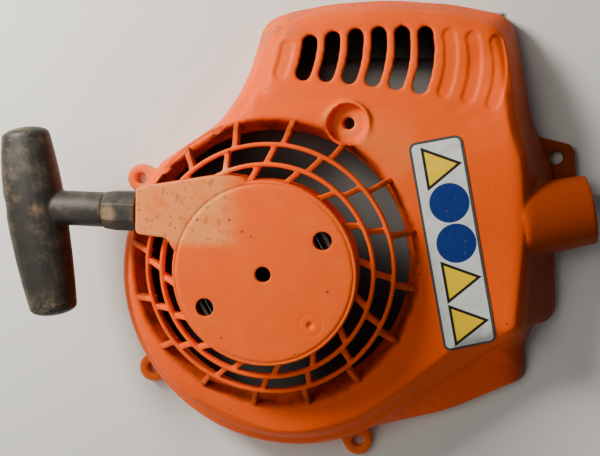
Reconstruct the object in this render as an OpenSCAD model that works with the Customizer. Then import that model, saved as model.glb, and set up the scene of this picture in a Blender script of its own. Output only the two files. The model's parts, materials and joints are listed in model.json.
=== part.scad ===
// Recoil starter for a small engine: fan housing with intake grille, rope rotor, rewind spring and T-grip.
// Frame: +Z out of the front face, the rear rim stands on z = 0, and the rotor turns about the Z axis.

/* [Fan housing] */
// Height of the front surface beside the air intake
plateau_z = 34; // [32:0.5:36]
// Height at which the outer wall turns into the front surface
shoulder_z = 25; // [23:0.5:27]
// Wall thickness of the moulding
wall = 2.4; // [2:0.1:2.8]
// Radius of the round intake opening
intake_r = 65; // [64:0.5:66]
// Radius of the round part of the rear rim
scroll_r = 83; // [82:0.5:84]
// Thickness of the screw ears
ear_t = 5; // [4:0.5:6]
// Radius of the clearance holes for the housing screws
screw_hole_r = 2.8; // [2.5:0.1:3]
// Radius of the counterbore for the front housing screw
counterbore_r = 8.7; // [8:0.1:9]
// Width of a vent slot
slot_w = 6.6; // [6:0.1:7]
// Inner radius of the air spigot
spigot_bore_r = 13; // [12:0.5:13.5]

/* [Intake grille] */
// Number of spokes
spoke_count = 16; // [12:1:20]
// Width of a spoke
spoke_w = 2.3; // [2:0.1:2.8]
// Width of a ring
ring_w = 1.9; // [1.6:0.1:2.4]

/* [Starter housing] */
// Height of the front face of the starter housing
face_z = 60; // [59:0.5:61]
// Outer radius of the starter housing
drum_r = 40; // [39.8:0.1:40.4]
// Height of the rope's centre line
rope_z = 47; // [46.8:0.1:47.2]

/* [Rope and rotor] */
// Rope diameter
rope_d = 3.5; // [3.3:0.1:3.5]
// Turns of rope on the rotor
rope_turns = 5; // [4:1:5]
// Radius of the rope groove's floor
groove_floor_r = 16; // [15.8:0.1:16.2]
// Radius of the rotor's flanges
rotor_r = 35; // [34.5:0.1:35.5]
// Radius of the post that the rotor turns on
post_r = 6; // [5.8:0.1:6.2]
// Radial running clearance of the rotor on its post
running_gap = 0.06; // [0.04:0.01:0.08]
// Turns of the rewind spring
spring_turns = 9; // [7:1:9]

/* [Grip] */
// Largest half width of the grip's bar
grip_half_w = 13.8; // [13:0.1:14.2]
// Half depth of the grip's bar, front to back
grip_half_t = 10.5; // [9.5:0.1:11]
// Radius of the grip's neck
neck_r = 7.8; // [7.2:0.1:8]

/* [Hidden] */

orange = [0.93, 0.36, 0.08];
steel = [0.72, 0.72, 0.74];
black = [0.09, 0.09, 0.09];

// Rear rim: the round part is an arc about scroll_c, and the rest is straight runs with round corners.
scroll_c = [5, -8];
scroll_from = 139;
scroll_to = 296;
rim_corners = [
    [80, -74.5, 40], [115.5, -58.5, 7], [114.5, -42, 12], [118.5, -31, 4], [128.5, -29.5, 6],
    [126.8, 40, 20], [117, 62, 12], [110.8, 94, 30], [106.5, 110.5, 12], [80, 116.4, 40],
    [52, 119.2, 60], [26, 118.4, 60], [4, 115, 30], [-6.5, 110.6, 8], [-15, 84, 40], [-28.5, 65, 30]
];
// Front shoulder: follows the rim, but cuts straight across the low corner at the lower right.
shoulder_inset = 2.2;
shoulder_to = 305;
shoulder_corners = [
    [112.5, -30.5, 8], [116.5, 15, 60], [115, 46, 20], [109.4, 62, 14], [106, 91, 30],
    [102, 106, 12], [80, 112, 40], [52, 114.8, 60], [26, 114.2, 60], [5, 110.8, 30],
    [-2.8, 106.8, 8], [-11.4, 83, 40], [-25.8, 63.4, 30]
];
// Crease between the raised front surface and the lower head with the vent slots.
crease_corners = [
    [-76, -8, 20], [-56, -56, 40], [5, -81, 40], [60, -62, 40], [106, -24, 20],
    [108, 40, 20], [97, 60, 10], [70, 66.8, 40], [30, 72.6, 60], [-24, 75, 10], [-52, 46, 30]
];
crease_drop = 3.6;
flat_drop = 1.4;
right_lift = 7;

// Screw points: left ear, lower left ear, bottom ear and right tab, all at the rear rim.
ears = [[-69.5, 38], [-67, -56.5], [35, -91]];
ear_r = 7;
tab_hole_r = 3.1;
tab_hole = [127.4, 45.8];
tab_corners = [[112, 34, 2], [136.6, 34, 1], [135.2, 51.5, 5], [112, 57.5, 3]];
boss = [34.3, 63.1];
boss_r = 10.2;
counterbore_depth = 5;
boss_floor_z = 12;
fit_gap = 0.05;

// Safety label: middle, size and turn
label_at = [80.1, 9.6];
label_size = [23.5, 93.9];
label_turn = 9.8;
label_gap = 0.9;
label_t = 0.35;

// Air spigot on the right
spigot_at = [111.5, 18.2, 17];
spigot_turn = 10;
spigot_len = 30;
spigot_root_r = 16.8;
spigot_end_r = 15.4;

// Vent slots from left to right: upper end x, upper end y, lower end x, lower end y, bow
slot_count = 10;
slot_rows = [
    for (i = [0 : slot_count - 1])
        [
            8 + 10.1 * i, 105.3 - 0.24 * pow(i - 4.5, 2), 3.2 + 10.4 * i, 83 - 0.45 * i - 0.135 * i * i,
            0.3 + 0.2 * i
        ]
];
first_open_slot = 1;
last_open_slot = 6;

// Grille rings: radius and height of each ring's middle
inner_ring = [46.4, 51.2];
outer_ring = [54.8, 44.4];
ring_h = 4;
mouth_gap = 0.45;
// Each spoke is three straight blades: start angle, end angle, start [r, z], end [r, z] and depth
spoke_start = 9;
blades = [
    [0, -6.5, [39, 55.5], inner_ring, 4.4],
    [-9.8, -13.3, inner_ring, outer_ring, 4.4],
    [-16.3, -18.3, outer_ring, [64.6, 33.6], 6.5]
];

// Starter housing
drum_wall = 2.4;
face_t = 2.6;
drum_floor_z = 41;
step_r = 38.4;
step_h = 0.7;
face_hole_r = 4;
face_hole_at = 29.5;
face_hole_turn = 29.3;
channel_corners = [
    [8, 39.2, 8], [-19, 42.4, 30], [-54.6, 37.2, 2], [-55.6, 17.2, 2.5], [-42, 15.6, 3], [-34.6, 3.4, 1]
];
channel_floor_z = 38.5;
channel_end_x = -55.6;
eyelet_y = 26;
eyelet_r = 4.4;

// Stack inside the starter housing
post_bottom_z = 35.6;
cassette_z = [52, 53];
cassette_r = 31.6;
lug_at = 35;
lug_r = 2.3;
lug_screw_r = 1.2;
spring_z = [53.2, 57];
spring_r = [12, 29.4];
spring_t = 0.45;
groove_z = [45, 49];
flange_t = 1.3;
hub_r = 10.5;
hub_top_z = 56.8;
hub_bottom_z = 36;
bush_r = 7.6;
rope_first_r = groove_floor_r + rope_d / 2;
rope_last_r = rope_first_r + (rope_turns - 1) * rope_d;

// Pawls and their pins
pin_at = 22;
pin_r = 1.5;
pawl_z = [39.4, 43.3];
pawl_head_r = 3.8;
pawl_reach = 13;
peg_at = 7;
spring_plate_z = [37.4, 38.2];
spring_slot_w = 3;

// Grip: the pull line runs from the eyelet to the left and slightly up
pull_turn = 177.4;
pull_origin = [channel_end_x, eyelet_y, rope_z];
bar_centre = 49.6;
bar_tilt = -9.5;
bar_up = 36;
bar_down = 50;
nose_from = 1.7;
nose_to = 11.3;
nose_taper = 5.5;
rope_bore_r = 2.1;

// ---- Functions ----

function unit(v) = v / norm(v);
function polar(r, a) = [r * cos(a), r * sin(a)];
function angle_of(p) = atan2(p[1], p[0]);
function lerp(a, b, t) = a + (b - a) * t;
function smooth(t) = let (c = min(1, max(0, t))) c * c * (3 - 2 * c);

// Points of one round corner b with radius r, between neighbours a and c
function corner_arc(a, b, c, r, step = 20) =
    let (
        u = unit([a[0] - b[0], a[1] - b[1]]),
        v = unit([c[0] - b[0], c[1] - b[1]]),
        half = acos(min(1, max(-1, u * v))) / 2,
        cut = r / tan(half),
        centre = [b[0], b[1]] + unit(u + v) * r / sin(half),
        from = angle_of([b[0], b[1]] + u * cut - centre),
        to = angle_of([b[0], b[1]] + v * cut - centre),
        turn = (to - from + 540) % 360 - 180,
        n = max(1, ceil(abs(turn) / step))
    )
    [for (i = [0 : n]) centre + polar(r, from + turn * i / n)];

// Closed outline with round corners; a row of three numbers is x, y and corner radius
function rounded(rows) =
    let (n = len(rows))
    [for (i = [0 : n - 1]) each corner_arc(rows[(i + n - 1) % n], rows[i], rows[(i + 1) % n], rows[i][2])];

// Open run of rounded corners between two end points, which stay sharp
function rounded_run(first, rows, last) =
    let (all = concat([[first[0], first[1], 0]], rows, [[last[0], last[1], 0]]))
    [for (i = [1 : len(all) - 2]) each corner_arc(all[i - 1], all[i], all[i + 1], all[i][2])];

function scroll_arc(r, from, to, step = 6) =
    let (n = ceil((to - from) / step))
    [for (i = [0 : n]) scroll_c + polar(r, from + (to - from) * i / n)];

// Splits every edge longer than step
function refined(pts, step) =
    [for (i = [0 : len(pts) - 1])
        let (a = pts[i], b = pts[(i + 1) % len(pts)], n = max(1, ceil(norm(b - a) / step)))
        each [for (k = [0 : n - 1]) a + (b - a) * k / n]];

function without_doubles(pts) =
    [for (i = [0 : len(pts) - 1]) if (norm(pts[i] - pts[(i + 1) % len(pts)]) > 0.05) pts[i]];

function closed_outline(r, to, rows) =
    let (arc = scroll_arc(r, scroll_from, to))
    without_doubles(concat(arc, rounded_run(arc[len(arc) - 1], rows, arc[0])));

// Outline moved inwards by d along its own normals
function inset(pts, d) =
    let (n = len(pts))
    [for (i = [0 : n - 1])
        let (t = unit(pts[(i + 1) % n] - pts[(i + n - 1) % n]))
        pts[i] + d * [-t[1], t[0]]];

// Distance from the Z axis to a closed outline along direction a
function reach(pts, a) =
    let (u = polar(1, a), n = len(pts))
    max([for (i = [0 : n - 1])
        let (
            p = pts[i],
            e = pts[(i + 1) % n] - p,
            den = u[0] * e[1] - u[1] * e[0],
            s = abs(den) < 1e-9 ? -1 : (p[0] * u[1] - p[1] * u[0]) / den,
            t = abs(den) < 1e-9 ? -1 : (p[0] * e[1] - p[1] * e[0]) / den
        )
        s >= -1e-6 && s <= 1 + 1e-6 && t > 0 ? t : 0]);

function ring_at(radii, angles, z) =
    [for (i = [0 : len(angles) - 1])
        [radii[i] * cos(angles[i]), radii[i] * sin(angles[i]), is_list(z) ? z[i] : z]];

// How far a direction lies within the head, and within the tall right side, 0 to 1
function head_share(a) = smooth((a - 25) / 14) * smooth((112 - a) / 8);
function right_share(a) = smooth((a + 24) / 10) * smooth((46 - a) / 12);

// Front surface along direction a: radius and height of the crease, the middle and the shoulder
rim_line = closed_outline(scroll_r, scroll_to, rim_corners);
front_line = closed_outline(scroll_r - shoulder_inset, shoulder_to, shoulder_corners);
top_line = inset(front_line, 6);
crease_line = rounded(crease_corners);
function turn_z(a) = shoulder_z + right_lift * right_share(a);
function top_r(a) = reach(top_line, a);
function crease_r(a) = min(reach(crease_line, a), lerp(intake_r, top_r(a), 0.72));
function crease_z(a) = plateau_z - lerp(flat_drop, crease_drop, head_share(a));
function mid_r(a) = lerp(crease_r(a), top_r(a), 0.6);
function mid_z(a) = lerp(crease_z(a), turn_z(a), lerp(0.42, 0.5, head_share(a)));
rim_pts = refined(rim_line, 11);
at = [for (p = rim_pts) angle_of(p)];
flat = [for (a = at) 1];
z_turn = [for (a = at) turn_z(a)];
edge_line = inset(front_line, 2.2);
edge_ring = ring_at([for (a = at) reach(edge_line, a)], at, z_turn - 2.4 * flat);
top_ring = ring_at([for (a = at) top_r(a)], at, z_turn + 0.6 * flat);
mid_ring = ring_at([for (a = at) mid_r(a)], at, [for (a = at) mid_z(a)]);
crease_ring = ring_at([for (a = at) crease_r(a)], at, [for (a = at) crease_z(a)]);
mouth_ring = ring_at(flat * (intake_r + 1.6), at, plateau_z);

// The two facets per step between an outer and an inner ring, as on the shell
function facets(outer, inner) =
    let (n = len(outer))
    [for (i = [0 : n - 1])
        let (j = (i + 1) % n)
        each [[outer[i], inner[j], outer[j]], [outer[i], inner[i], inner[j]]]];
front_facets = concat(
    facets(edge_ring, top_ring), facets(top_ring, mid_ring), facets(mid_ring, crease_ring),
    facets(crease_ring, mouth_ring)
);
function cross2(a, b) = a[0] * b[1] - a[1] * b[0];
function facet_z(f, p) =
    let (
        u = f[1] - f[0],
        v = f[2] - f[0],
        d = p - [f[0][0], f[0][1]],
        den = cross2(u, v),
        s = cross2(d, v) / den,
        t = cross2(u, d) / den
    )
    s >= -1e-6 && t >= -1e-6 && s + t <= 1 + 1e-6 ? f[0][2] + s * u[2] + t * v[2] : -100;
function front_z(p) = max([for (f = front_facets) facet_z(f, p)]);

// ---- Modules ----

// Closed tube of rings: ring k joins ring k + 1, and the last joins the first
module ring_solid(rings) {
    n = len(rings[0]);
    m = len(rings);
    points = [for (r = rings) each r];
    faces = [
        for (k = [0 : m - 1], i = [0 : n - 1])
            let (
                j = (i + 1) % n,
                l = (k + 1) % m,
                a = k * n + i,
                b = k * n + j,
                c = l * n + j,
                d = l * n + i
            )
            each [[a, c, b], [a, d, c]]
    ];
    polyhedron(points, faces);
}

// Outer skin, shoulder, crease, intake mouth and inner skin of the fan housing in one closed surface
module housing_shell() {
    rim_in = inset(rim_line, wall);
    front_in = inset(front_line, wall + 0.4);
    top_in = inset(front_line, 6.6);
    r_rim = [for (p = rim_pts) norm(p)];
    r_rim_in = [for (a = at) reach(rim_in, a)];
    r_front = [for (a = at) reach(front_line, a)];
    r_front_in = [for (i = [0 : len(at) - 1]) min(reach(front_in, at[i]), r_front[i] - wall)];
    ring_solid([
        ring_at(r_rim, at, 0),
        ring_at(r_rim * 0.84 + r_front * 0.16, at, 9),
        ring_at(r_front, at, z_turn - 7 * flat),
        edge_ring,
        top_ring,
        mid_ring,
        crease_ring,
        mouth_ring,
        ring_at(flat * intake_r, at, plateau_z - 0.9),
        ring_at(flat * (intake_r - 1.6), at, plateau_z - 5),
        ring_at(flat * (intake_r - 4.6), at, plateau_z - 13),
        ring_at(flat * (intake_r - 2.4), at, plateau_z - 13.6),
        ring_at(flat * (intake_r + 0.6), at, plateau_z - 6),
        ring_at(flat * (intake_r + 2.6), at, plateau_z - wall - 0.4),
        ring_at([for (a = at) crease_r(a) + 0.3], at, [for (a = at) crease_z(a) - wall]),
        ring_at([for (a = at) mid_r(a)], at, [for (a = at) mid_z(a) - wall]),
        ring_at([for (a = at) reach(top_in, a)], at, z_turn - 1.8 * flat),
        ring_at(r_front_in, at, z_turn - 8 * flat),
        ring_at(r_rim_in * 0.84 + r_front_in * 0.16 - 0.2 * flat, at, 9),
        ring_at(r_rim_in, at, 0)
    ]);
}

// One bowed vent slot, cut down through the front surface
module slot_cut(row) {
    top = [row[0], row[1]];
    low = [row[2], row[3]];
    along = unit(top - low);
    side = [along[1], -along[0]];
    half = norm(top - low) / 2 - slot_w / 2;
    line = function(t) (top + low) / 2 + along * half * t + side * row[4] * (1 - t * t);
    translate([0, 0, 14])
        linear_extrude(25)
        for (k = [0 : 3])
            hull() {
                translate(line(k / 2 - 1)) circle(r = slot_w / 2, $fn = 20);
                translate(line(k / 2 - 0.5)) circle(r = slot_w / 2, $fn = 20);
            }
}

module spigot_frame() {
    translate(spigot_at) rotate([0, 0, spigot_turn]) rotate([0, 90, 0]) children();
}

module fan_housing() {
    color(orange)
    difference() {
        housing_shell();
        translate([boss[0], boss[1], -1]) cylinder(r = boss_r + fit_gap, h = 50, $fn = 64);
        spigot_frame()
            cylinder(r1 = spigot_root_r + fit_gap, r2 = spigot_end_r + fit_gap, h = spigot_len, $fn = 96);
        for (i = [first_open_slot : last_open_slot])
            slot_cut(slot_rows[i]);
    }
}

// Flat outline of the rear rim, which the ears and the spigot stop at
module rim_block(h) {
    translate([0, 0, -1]) linear_extrude(h + 1) polygon(rim_line);
}

// Round ear with a web that runs into the round wall
module ear(at) {
    inward = unit(scroll_c - at);
    side = [-inward[1], inward[0]];
    root = at + inward * 7;
    difference() {
        union() {
            translate([at[0], at[1], 0]) cylinder(r = ear_r, h = ear_t, $fn = 40);
            linear_extrude(ear_t)
                polygon([
                    at + side * ear_r, at - side * ear_r, root - side * (ear_r + 1), root + side * (ear_r + 1)
                ]);
        }
        rim_block(ear_t + 1);
        translate([at[0], at[1], -1]) cylinder(r = screw_hole_r, h = ear_t + 2, $fn = 32);
    }
}

module screw_ears() {
    color(orange)
    for (e = ears)
        ear(e);
    color(orange)
    difference() {
        linear_extrude(ear_t) polygon(rounded(tab_corners));
        rim_block(ear_t + 1);
        spigot_frame()
            cylinder(r1 = spigot_root_r + fit_gap, r2 = spigot_end_r + fit_gap, h = spigot_len, $fn = 64);
        translate([tab_hole[0], tab_hole[1], -1]) cylinder(r = tab_hole_r, h = ear_t + 2, $fn = 32);
    }
}

module front_boss() {
    color(orange)
    translate([boss[0], boss[1], 0])
        difference() {
            translate([0, 0, boss_floor_z])
                cylinder(r = boss_r, h = plateau_z - 0.6 - boss_floor_z, $fn = 48);
            cylinder(r = screw_hole_r, h = plateau_z, $fn = 32);
            translate([0, 0, plateau_z - counterbore_depth]) cylinder(r = counterbore_r, h = 10, $fn = 48);
        }
}

module air_spigot() {
    color(orange)
    spigot_frame()
        difference() {
            cylinder(r1 = spigot_root_r, r2 = spigot_end_r, h = spigot_len, $fn = 64);
            translate([0, 0, -1]) cylinder(r = spigot_bore_r, h = spigot_len + 2, $fn = 64);
        }
}

// Straight bar of the grille between two points given as angle and [radius, height]
module blade(a1, p1, a2, p2, depth) {
    from = [p1[0] * cos(a1), p1[0] * sin(a1), p1[1]];
    to = [p2[0] * cos(a2), p2[0] * sin(a2), p2[1]];
    run = to - from;
    flat = norm([run[0], run[1]]);
    translate(from)
        rotate([0, 0, atan2(run[1], run[0])])
        rotate([90, 0, 0])
        translate([0, 0, -spoke_w / 2])
        linear_extrude(spoke_w)
        polygon([[0, 0.6], [flat, run[2] + 0.6], [flat, run[2] - depth], [0, -depth]]);
}

module grille_ring(at) {
    rotate_extrude($fn = 96)
        translate(at)
        polygon([
            [-ring_w / 2, -ring_h / 2], [ring_w / 2, -ring_h / 2], [ring_w / 2, ring_h / 2 - 0.6],
            [ring_w / 2 - 0.5, ring_h / 2], [0.5 - ring_w / 2, ring_h / 2], [-ring_w / 2, ring_h / 2 - 0.6]
        ]);
}

// Space of the rope channel and drum, kept free of grille bars
module starter_clearance() {
    translate([0, 0, channel_floor_z - 8]) linear_extrude(40) polygon(rounded(channel_corners));
    translate([0, 0, 20]) cylinder(r = drum_r, h = 50, $fn = 96);
}

// Space of the housing's intake mouth, which the grille's outer ends stop at
module mouth_clearance() {
    rotate_extrude($fn = 96)
        polygon([
            [intake_r - mouth_gap, plateau_z + 4], [intake_r - mouth_gap, plateau_z - 0.9],
            [intake_r - 1.6 - mouth_gap, plateau_z - 5], [intake_r - 4.6 - mouth_gap, plateau_z - 13],
            [intake_r + 8, plateau_z - 13], [intake_r + 8, plateau_z + 4]
        ]);
}

module intake_grille() {
    color(orange)
    difference() {
        union() {
            grille_ring(inner_ring);
            grille_ring(outer_ring);
            for (i = [0 : spoke_count - 1], b = blades)
                blade(spoke_start + i * 360 / spoke_count + b[0], b[2],
                    spoke_start + i * 360 / spoke_count + b[1], b[3], b[4]);
        }
        starter_clearance();
        mouth_clearance();
        translate([boss[0], boss[1], 10]) cylinder(r = boss_r + fit_gap, h = 40, $fn = 48);
    }
}

module starter_housing() {
    color(orange)
    difference() {
        union() {
            rotate_extrude($fn = 128)
                polygon([
                    [0, 45], [0, face_z], [step_r - 0.8, face_z], [step_r, face_z - step_h],
                    [drum_r - 0.6, face_z - step_h], [drum_r, face_z - step_h - 0.8], [drum_r, 45]
                ]);
            translate([0, 0, drum_floor_z]) cylinder(r = drum_r, h = 5, $fn = 128);
            translate([0, 0, channel_floor_z])
                linear_extrude(face_z - step_h - channel_floor_z)
                polygon(rounded(channel_corners));
        }
        // Room for the rotor and the spring, with three screw posts left standing
        difference() {
            translate([0, 0, drum_floor_z - 5])
                cylinder(r = drum_r - drum_wall, h = face_z - face_t - drum_floor_z + 5, $fn = 128);
            screw_places() translate([0, 0, cassette_z[1]]) cylinder(r = lug_r + 0.5, h = 10, $fn = 32);
        }
        // Rope passage
        translate([0, 0, rope_z - 5.5])
            linear_extrude(11)
            polygon([[-12, 22], [channel_end_x + 2.6, 20.5], [channel_end_x + 2.6, 32], [-20, 38], [-8, 37]]);
        translate(pull_origin)
            rotate([0, -90, 0])
            translate([0, 0, -8]) cylinder(r = eyelet_r, h = 16, $fn = 32);
        screw_places() translate([0, 0, cassette_z[1]]) cylinder(r = lug_screw_r, h = 4.2, $fn = 24);
        // Centre hole and the two sight holes
        translate([0, 0, 50]) cylinder(r = 3.4, h = 20, $fn = 32);
        for (k = [0, 180])
            rotate([0, 0, face_hole_turn + k])
                translate([face_hole_at, 0, 50]) cylinder(r = face_hole_r, h = 20, $fn = 32);
    }
}

module starter_post() {
    color(steel)
    difference() {
        translate([0, 0, post_bottom_z]) cylinder(r = post_r, h = face_z - face_t - post_bottom_z, $fn = 64);
        translate([0, 0, face_z - 12]) cylinder(r = 3.4, h = 12, $fn = 32);
        translate([0, 0, post_bottom_z - 1]) cylinder(r = 2.5, h = 10, $fn = 32);
    }
}

// Black foam strip across the inside of the head, bowed like the row of slots
module air_baffle() {
    color(black)
    intersection() {
        translate([0, 0, 3])
            linear_extrude(6)
            polygon(concat(
                [for (x = [-20 : 10 : 120]) [x, 102 - 0.0012 * pow(x - 45, 2)]],
                [for (x = [120 : -10 : -20]) [x, 92.5 - 0.0009 * pow(x - 45, 2)]]
            ));
        linear_extrude(20) polygon(inset(rim_line, wall + 1.4));
    }
}

// Thin label that lies on the front surface
module safety_label() {
    across = 5;
    along = 18;
    grid = [
        for (j = [0 : along], i = [0 : across])
            let (
                x = label_size[0] * (i / across - 0.5),
                y = label_size[1] * (j / along - 0.5),
                p = label_at + x * polar(1, label_turn) + y * polar(1, label_turn + 90)
            )
            [p[0], p[1], front_z(p)]
    ];
    n = len(grid);
    w = across + 1;
    sides = concat(
        [for (i = [0 : across - 1]) [i, i + 1]],
        [for (j = [0 : along - 1]) [j * w + across, (j + 1) * w + across]],
        [for (i = [across : -1 : 1]) [along * w + i, along * w + i - 1]],
        [for (j = [along : -1 : 1]) [j * w, (j - 1) * w]]
    );
    color("white")
    polyhedron(
        concat([for (p = grid) p + [0, 0, label_gap]], [for (p = grid) p + [0, 0, label_gap + label_t]]),
        concat(
            [for (j = [0 : along - 1], i = [0 : across - 1])
                let (a = j * w + i, b = a + 1, c = a + w, d = c + 1)
                each [[a, b, d], [a, d, c], [n + a, n + d, n + b], [n + a, n + c, n + d]]],
            [for (e = sides) each [[e[0], n + e[1], e[1]], [e[0], n + e[0], n + e[1]]]]
        )
    );
}

module rope_eyelet() {
    color(steel)
    translate(pull_origin)
        rotate([0, -90, 0])
        rotate_extrude($fn = 48)
        polygon([
            [2.4, -3.4], [eyelet_r - 0.05, -3.4], [eyelet_r - 0.05, 0], [6, 0], [6, 0.7], [5.4, 1],
            [3.4, 1], [2.4, 0.2]
        ]);
}

module screw_places() {
    for (k = [0 : 2])
        rotate([0, 0, 70 + 120 * k]) translate([lug_at, 0, 0]) children();
}

module spring_cassette() {
    color(black)
    difference() {
        union() {
            translate([0, 0, cassette_z[0]])
                cylinder(r = cassette_r, h = face_z - face_t - 0.1 - cassette_z[0], $fn = 96);
            translate([0, 0, cassette_z[0]])
                cylinder(r = cassette_r + 1.8, h = cassette_z[1] - cassette_z[0], $fn = 96);
            screw_places()
                translate([0, 0, cassette_z[0]])
                cylinder(r = lug_r, h = cassette_z[1] - cassette_z[0], $fn = 32);
        }
        translate([0, 0, cassette_z[1]]) cylinder(r = cassette_r - 1.4, h = 6, $fn = 96);
        translate([0, 0, 50]) cylinder(r = hub_r + 0.6, h = 10, $fn = 48);
        screw_places()
            translate([0, 0, cassette_z[0] - 1]) cylinder(r = lug_screw_r + 0.2, h = 3, $fn = 24);
    }
}

// Three small screws that hold the cassette under the front face
module cassette_screws() {
    color(steel)
    screw_places() {
        translate([0, 0, cassette_z[0]]) cylinder(r = lug_screw_r, h = 5, $fn = 24);
        translate([0, 0, cassette_z[0] - 1.2]) cylinder(r = 2.2, h = 1.2, $fn = 32);
    }
}

// Flat spiral strip from the rotor's hub out to the cassette's wall
module rewind_spring() {
    steps = 20;
    n = spring_turns * steps;
    line = function(k) polar(lerp(spring_r[0], spring_r[1], k / n), 360 * k / steps);
    color([0.45, 0.5, 0.6])
    translate([0, 0, spring_z[0]])
        linear_extrude(spring_z[1] - spring_z[0])
        polygon(concat(
            [for (k = [0 : n]) line(k)],
            [for (k = [n : -1 : 0]) let (p = line(k)) p + unit(p) * spring_t]
        ));
}

module retaining_washer() {
    color(steel)
    difference() {
        translate([0, 0, post_bottom_z - 1.2]) cylinder(r = 9.5, h = 1.2, $fn = 48);
        translate([0, 0, post_bottom_z - 2]) cylinder(r = 2.6, h = 3, $fn = 32);
    }
}

module retaining_screw() {
    color(steel)
    difference() {
        union() {
            translate([0, 0, post_bottom_z - 1.2]) cylinder(r = 2.45, h = 9.6, $fn = 32);
            translate([0, 0, post_bottom_z - 4.4]) cylinder(r = 4.6, h = 3.2, $fn = 48);
        }
        translate([0, 0, post_bottom_z - 4.6]) cylinder(r = 2.4, h = 2.2, $fn = 6);
    }
}

module rope_rotor() {
    top = groove_z[1] + flange_t;
    low = groove_z[0] - flange_t;
    color([0.16, 0.16, 0.17])
    difference() {
        union() {
            rotate_extrude($fn = 96)
                polygon([
                    [bush_r, hub_bottom_z], [hub_r, hub_bottom_z], [hub_r, low], [rotor_r, low],
                    [rotor_r, groove_z[0]], [groove_floor_r, groove_z[0]], [groove_floor_r, groove_z[1]],
                    [rotor_r, groove_z[1]], [rotor_r, top], [hub_r, top], [hub_r, hub_top_z],
                    [bush_r, hub_top_z]
                ]);
        }
        // Pocket for the rope's inner knot, and light holes in the flanges
        rotate([0, 0, 30]) translate([12.8, 0, low - 1]) cylinder(r = 2.6, h = 6.4, $fn = 32);
        for (k = [60, 120, 240, 300])
            rotate([0, 0, k]) translate([25, 0, low - 1]) cylinder(r = 4, h = flange_t + 1.2, $fn = 32);
        pawl_places() cylinder(r = pin_r, h = 9, $fn = 24);
    }
}

module rotor_bush() {
    color([0.8, 0.62, 0.3])
    translate([0, 0, hub_bottom_z])
        difference() {
            cylinder(r = bush_r, h = hub_top_z - hub_bottom_z, $fn = 64);
            translate([0, 0, -1]) cylinder(r = post_r + running_gap, h = 30, $fn = 64);
        }
}

module rope_winding() {
    color([0.85, 0.83, 0.78])
    for (k = [0 : rope_turns - 1])
        translate([0, 0, rope_z])
            rotate_extrude($fn = 72)
            translate([rope_first_r + k * rope_d, 0])
            circle(r = rope_d / 2 - 0.05, $fn = 16);
}

module rotor_knot() {
    color([0.85, 0.83, 0.78])
    rotate([0, 0, 30]) translate([12.8, 0, groove_z[0] - 1.9]) sphere(r = 2.4, $fn = 24);
}

module pawl_places() {
    for (k = [0, 180])
        rotate([0, 0, k]) translate([pin_at, 0, 36]) children();
}

module pawl_pins() {
    color(steel)
    pawl_places() translate([0, 0, 2]) cylinder(r = pin_r, h = 7, $fn = 24);
}

module pawl_pin_clips() {
    color(steel)
    pawl_places() translate([0, 0, 2.3]) difference() {
        cylinder(r = 3, h = 0.7, $fn = 32);
        translate([0, 0, -1]) cylinder(r = pin_r, h = 3, $fn = 24);
    }
}

// Curved pawl with a peg for the spring plate, drawn about its own pin
module pawl() {
    difference() {
        union() {
            translate([0, 0, pawl_z[0]]) cylinder(r = pawl_head_r, h = pawl_z[1] - pawl_z[0], $fn = 40);
            translate([0, 0, pawl_z[0]])
                linear_extrude(pawl_z[1] - pawl_z[0])
                polygon(rounded([
                    [2.2, -3, 1], [3, 4, 2], [-1.5, pawl_reach + 1, 1], [-6, pawl_reach - 1.5, 0.8],
                    [-4, 4, 3], [-2.6, -2, 1]
                ]));
            translate([-0.6, peg_at, spring_plate_z[0] - 0.4]) cylinder(r = 1.1, h = 4, $fn = 24);
        }
        translate([0, 0, pawl_z[0] - 1]) cylinder(r = pin_r + running_gap, h = 8, $fn = 24);
    }
}

module pawl_1() {
    color([0.5, 0.5, 0.52]) translate([pin_at, 0, 0]) pawl();
}

module pawl_2() {
    color([0.5, 0.5, 0.52]) rotate([0, 0, 180]) translate([pin_at, 0, 0]) pawl();
}

// Friction plate round the rotor's hub; each arm has an open slot round a pawl's peg
module pawl_spring() {
    arm = angle_of([pin_at - 0.6, peg_at]);
    color(steel)
    translate([0, 0, spring_plate_z[0]])
        difference() {
            union() {
                cylinder(r = hub_r + 3, h = spring_plate_z[1] - spring_plate_z[0], $fn = 64);
                for (k = [0, 180])
                    rotate([0, 0, arm + k])
                        translate([8, -3.2, 0]) cube([20, 6.4, spring_plate_z[1] - spring_plate_z[0]]);
            }
            translate([0, 0, -1]) cylinder(r = hub_r + 0.15, h = 4, $fn = 64);
            for (k = [0, 180])
                rotate([0, 0, arm + k])
                    translate([17.5, -spring_slot_w / 2, -1]) cube([12, spring_slot_w, 4]);
        }
}

// Rope from the outer turn to the eyelet and on to the grip
lead_turns = acos(rope_last_r / norm([channel_end_x, eyelet_y]));
lead_from = polar(rope_last_r, angle_of([channel_end_x, eyelet_y]) - lead_turns);
lead_knot = bar_centre + 0.1;
// Where the straight lead is a full rope diameter clear of the outer turn
lead_clear = sqrt(pow(rope_last_r + rope_d, 2) - pow(rope_last_r, 2)) + 0.3;

function sweep_ring(at, dir, r, z, sides = 10) =
    let (side = [-dir[1], dir[0]])
    [for (k = [0 : sides - 1])
        let (a = 360 * k / sides)
        [at[0] + side[0] * r * cos(a), at[1] + side[1] * r * cos(a), z + r * sin(a)]];

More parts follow.
